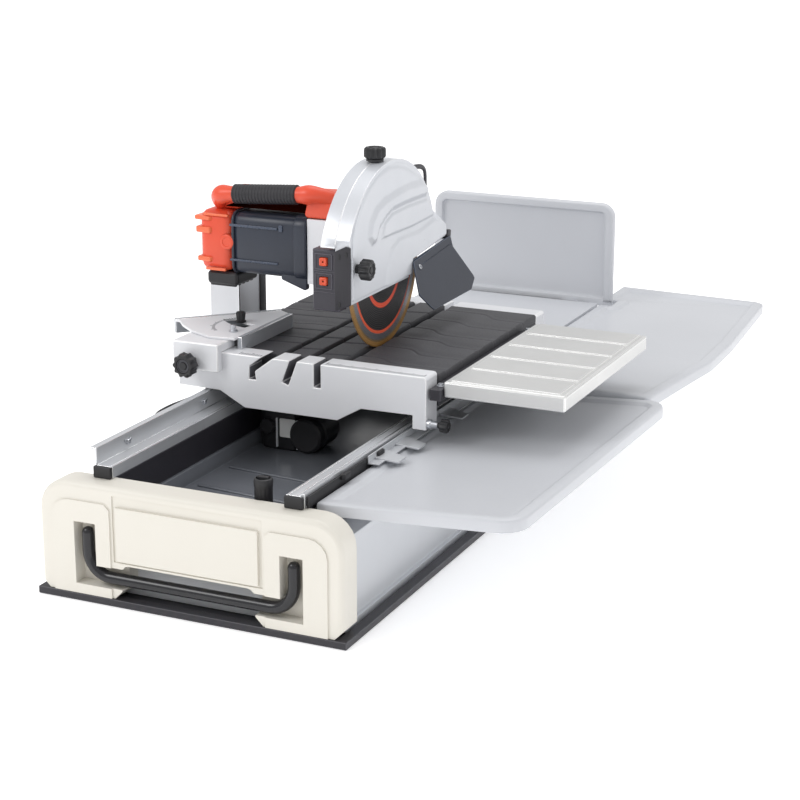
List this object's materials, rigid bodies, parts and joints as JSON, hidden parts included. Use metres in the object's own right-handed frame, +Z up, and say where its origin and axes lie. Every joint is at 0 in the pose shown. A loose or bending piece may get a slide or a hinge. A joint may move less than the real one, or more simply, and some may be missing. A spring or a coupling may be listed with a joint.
{
  "type": "wet tile saw",
  "caption": "Wet tile saw: sliding table with rubber mats and angle guide, tilting and plunging motor head over a blade, water pan, side and rear trays, carrying handle.",
  "frame": {"origin": "middle of the base's front bottom edge, on the floor", "axes": "+Z up, +Y from the front panel to the rear trays, +X to the right along the blade's axis"},
  "size_m": [0.7915, 1.396, 0.585],
  "materials": {
    "cream_plastic": "fine-grained moulded plastic",
    "tray_plastic": "smooth moulded plastic",
    "black_steel": "satin black paint",
    "black_plastic": "moulded",
    "aluminium": "extruded, lightly brushed",
    "silver_paint": "silver paint on aluminium castings",
    "mat_rubber": "ribbed matt rubber",
    "black_rubber": "matt rubber",
    "motor_plastic": "dark blue-grey",
    "red_plastic": "orange-red",
    "switch_plastic": "dark grey",
    "pan_plastic": "grey moulded plastic",
    "blade_steel": "painted steel core, bright rim",
    "steel": "plain steel"
  },
  "bodies": {
    "base": {"base_plate": "black_steel", "water_pan": "pan_plastic", "front_panel": "cream_plastic", "left_side_beam": "black_steel", "right_side_beam": "black_steel", "left_rail": "aluminium", "right_rail": "aluminium", "left_rail_cap": "black_plastic", "right_rail_cap": "black_plastic", "rear_panel": "black_steel", "column": "aluminium", "column_arm": "aluminium", "water_pump": "black_plastic", "cable_gland": "black_plastic", "pump_lead": "black_rubber", "front_side_tray": "tray_plastic", "rear_side_tray": "tray_plastic", "rear_shelf": "tray_plastic"},
    "handle": {"carry_handle": "black_steel"},
    "plug": {"drain_plug": "black_plastic"},
    "splash_tray": {"rear_splash_tray": "tray_plastic"},
    "table": {"front_casting": "silver_paint", "table_bed": "silver_paint", "rear_casting": "silver_paint", "mat_1": "mat_rubber", "mat_2": "mat_rubber", "mat_3": "mat_rubber", "mat_4": "mat_rubber", "extension_wing": "silver_paint", "wing_rail": "black_steel"},
    "lock_knob": {"table_lock": "black_plastic"},
    "roller_fl": {"roller_front_left": "black_plastic"},
    "roller_fr": {"roller_front_right": "black_plastic"},
    "roller_rl": {"roller_rear_left": "black_plastic"},
    "roller_rr": {"roller_rear_right": "black_plastic"},
    "guide": {"guide_block": "silver_paint", "sector_plate": "silver_paint", "fence_bar": "aluminium", "miter_bar": "aluminium"},
    "guide_knob_body": {"guide_knob": "black_plastic"},
    "miter_lock_body": {"miter_lock": "black_plastic"},
    "bevel_carrier": {"bevel_yoke": "silver_paint", "plunge_pin": "steel"},
    "bevel_lock_body": {"bevel_lock": "black_plastic"},
    "head": {"gear_case": "silver_paint", "motor_body": "motor_plastic", "motor_end_cap": "red_plastic", "brush_cap": "red_plastic", "inlet_box": "black_plastic", "top_handle": "red_plastic", "handle_grip": "black_rubber", "switch_box": "switch_plastic", "head_arm": "silver_paint", "blade_guard": "silver_paint"},
    "blade": {"saw_blade": "blade_steel"},
    "start": {"start_button": "red_plastic"},
    "stop": {"stop_button": "red_plastic"},
    "depth_knob_body": {"depth_knob": "black_plastic"},
    "cover_knob_body": {"cover_knob": "black_plastic"},
    "flap": {"splash_flap": "black_rubber"}
  },
  "joints": [
    {"name": "handle_swing", "type": "hinge", "parent": "base", "child": "handle", "pos_m": [0, 0.01, 0.101], "axis": [-1, 0, 0], "range_deg": [0, 90]},
    {"name": "drain_pull", "type": "slide", "parent": "base", "child": "plug", "axis": [0, 0, 1], "range_m": [0, 0.03]},
    {"name": "splash_fold", "type": "hinge", "parent": "base", "child": "splash_tray", "pos_m": [0, 1.2485, 0.1995], "axis": [1, 0, 0], "range_deg": [0, 90]},
    {"name": "table_slide", "type": "slide", "parent": "base", "child": "table", "axis": [0, 1, 0], "range_m": [-0.33, 0.085]},
    {"name": "table_lock_turn", "type": "hinge", "parent": "table", "child": "lock_knob", "pos_m": [0.202, 0.366, 0.2085], "axis": [1, 0, 0], "range_deg": [0, 360]},
    {"name": "guide_knob_turn", "type": "hinge", "parent": "guide", "child": "guide_knob_body", "pos_m": [-0.186, 0.343, 0.2635], "axis": [0, -1, 0], "range_deg": [0, 360]},
    {"name": "miter_lock_turn", "type": "hinge", "parent": "guide", "child": "miter_lock_body", "pos_m": [-0.168, 0.47, 0.3], "axis": [0, 0, 1], "range_deg": [0, 360]},
    {"name": "guide_slide", "type": "slide", "parent": "table", "child": "guide", "axis": [1, 0, 0], "range_m": [0, 0.12]},
    {"name": "bevel_tilt", "type": "hinge", "parent": "base", "child": "bevel_carrier", "pos_m": [0.076, 0.775, 0.276], "axis": [0, 1, 0], "range_deg": [0, 45]},
    {"name": "bevel_lock_turn", "type": "hinge", "parent": "bevel_carrier", "child": "bevel_lock_body", "pos_m": [-0.093, 0.775, 0.322], "axis": [0, -1, 0], "range_deg": [0, 360]},
    {"name": "head_plunge", "type": "hinge", "parent": "bevel_carrier", "child": "head", "pos_m": [-0.016, 0.745, 0.432], "axis": [-1, 0, 0], "range_deg": [0, 25]},
    {"name": "blade_spin", "type": "hinge", "parent": "head", "child": "blade", "pos_m": [0.046, 0.546, 0.396], "axis": [1, 0, 0], "continuous": true},
    {"name": "start_press", "type": "slide", "parent": "head", "child": "start", "axis": [0, 1, 0], "range_m": [0, 0.003], "stiffness_N_per_m": 300, "springref_m": -0.001},
    {"name": "stop_press", "type": "slide", "parent": "head", "child": "stop", "axis": [0, 1, 0], "range_m": [0, 0.003], "stiffness_N_per_m": 300, "springref_m": -0.001},
    {"name": "depth_knob_turn", "type": "hinge", "parent": "head", "child": "depth_knob_body", "pos_m": [0.04, 0.528, 0.563], "axis": [0, 0, 1], "range_deg": [0, 360]},
    {"name": "cover_knob_turn", "type": "hinge", "parent": "head", "child": "cover_knob_body", "pos_m": [0.062, 0.413, 0.42], "axis": [1, 0, 0], "range_deg": [0, 360]},
    {"name": "flap_swing", "type": "hinge", "parent": "head", "child": "flap", "pos_m": [0.0655, 0.612, 0.3905], "axis": [0, -0.9949, -0.1011], "range_deg": [0, 55]},
    {"name": "roller_spin_fl", "type": "hinge", "parent": "table", "child": "roller_fl", "pos_m": [-0.1475, 0.47, 0.2053], "axis": [1, 0, 0], "range_deg": [-420, 1600]},
    {"name": "roller_spin_rl", "type": "hinge", "parent": "table", "child": "roller_rl", "pos_m": [-0.1475, 0.74, 0.2053], "axis": [1, 0, 0], "range_deg": [-420, 1600]},
    {"name": "roller_spin_fr", "type": "hinge", "parent": "table", "child": "roller_fr", "pos_m": [0.1475, 0.47, 0.2053], "axis": [1, 0, 0], "range_deg": [-420, 1600]},
    {"name": "roller_spin_rr", "type": "hinge", "parent": "table", "child": "roller_rr", "pos_m": [0.1475, 0.74, 0.2053], "axis": [1, 0, 0], "range_deg": [-420, 1600]}
  ],
  "couplings": [
    {"joint": "roller_spin_fl", "follows": "table_slide", "rad_per_m": -83.333},
    {"joint": "roller_spin_rl", "follows": "table_slide", "rad_per_m": -83.333},
    {"joint": "roller_spin_fr", "follows": "table_slide", "rad_per_m": -83.333},
    {"joint": "roller_spin_rr", "follows": "table_slide", "rad_per_m": -83.333}
  ]
}
